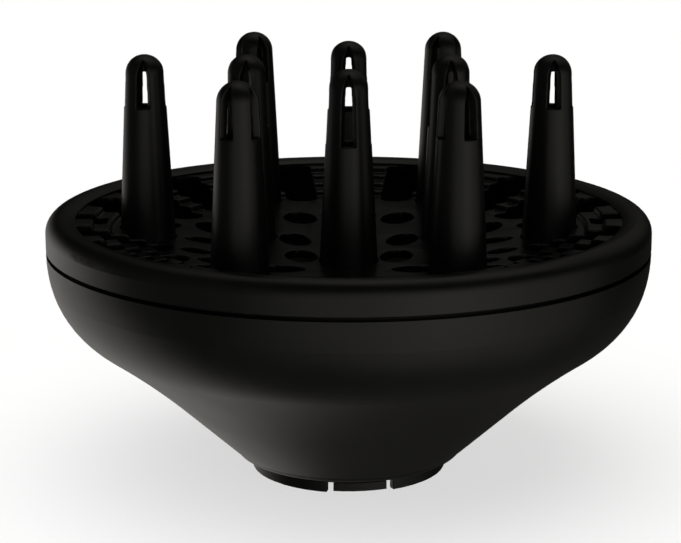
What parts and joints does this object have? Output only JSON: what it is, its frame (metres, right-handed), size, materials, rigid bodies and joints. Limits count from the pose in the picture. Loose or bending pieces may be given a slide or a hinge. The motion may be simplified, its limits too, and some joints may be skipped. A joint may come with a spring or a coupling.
{
  "type": "hair dryer diffuser",
  "caption": "Round bowl-shaped hair dryer diffuser with a stepped, slotted plate, hollow slotted fingers standing on it and a round socket that pushes onto a dryer's nozzle.",
  "frame": {"origin": "centre of the socket's mouth, at the bottom of the collar, which is the lowest face", "axes": "+Z along the round body's axis, from the socket to the fingers' tips; +X and -X each pass through an outer finger and an inner finger; -Y is the side with the latch tongue nearest the front"},
  "size_m": [0.16, 0.16, 0.1117],
  "materials": {
    "shell_plastic": "satin black moulded plastic",
    "rim_plastic": "satin black moulded plastic",
    "plate_plastic": "satin black moulded plastic",
    "finger_plastic": "satin black moulded plastic",
    "collar_plastic": "satin black moulded plastic",
    "inner_plastic": "plain black moulded plastic",
    "seal_rubber": "dull black rubber",
    "screw_steel": "zinc plated steel"
  },
  "bodies": {
    "diffuser": {"bowl_shell": "shell_plastic", "rim_ring": "rim_plastic", "diffuser_plate": "plate_plastic", "outer_finger_1": "finger_plastic", "outer_finger_2": "finger_plastic", "outer_finger_3": "finger_plastic", "outer_finger_4": "finger_plastic", "outer_finger_5": "finger_plastic", "outer_finger_6": "finger_plastic", "inner_finger_1": "finger_plastic", "inner_finger_2": "finger_plastic", "inner_finger_3": "finger_plastic", "inner_finger_4": "finger_plastic", "nozzle_collar": "collar_plastic", "socket_seal_ring": "seal_rubber", "collar_clamp_ring": "inner_plastic", "clamp_ring_screws": "screw_steel", "air_baffle": "inner_plastic", "baffle_screw": "screw_steel"},
    "tongue_1": {"latch_tongue_1": "collar_plastic"},
    "tongue_2": {"latch_tongue_2": "collar_plastic"},
    "tongue_3": {"latch_tongue_3": "collar_plastic"}
  },
  "joints": [
    {"name": "tongue_1_flex", "type": "hinge", "parent": "diffuser", "child": "tongue_1", "pos_m": [0.00298, -0.02427, 0.0168], "axis": [-0.9925, -0.1219, 0], "range_deg": [0, 1.8], "stiffness_Nm_per_rad": 0.43},
    {"name": "tongue_2_flex", "type": "hinge", "parent": "diffuser", "child": "tongue_2", "pos_m": [0.01953, 0.01471, 0.0168], "axis": [0.6018, -0.7986, 0], "range_deg": [0, 1.8], "stiffness_Nm_per_rad": 0.43},
    {"name": "tongue_3_flex", "type": "hinge", "parent": "diffuser", "child": "tongue_3", "pos_m": [-0.02251, 0.00955, 0.0168], "axis": [0.3907, 0.9205, 0], "range_deg": [0, 1.8], "stiffness_Nm_per_rad": 0.43}
  ]
}
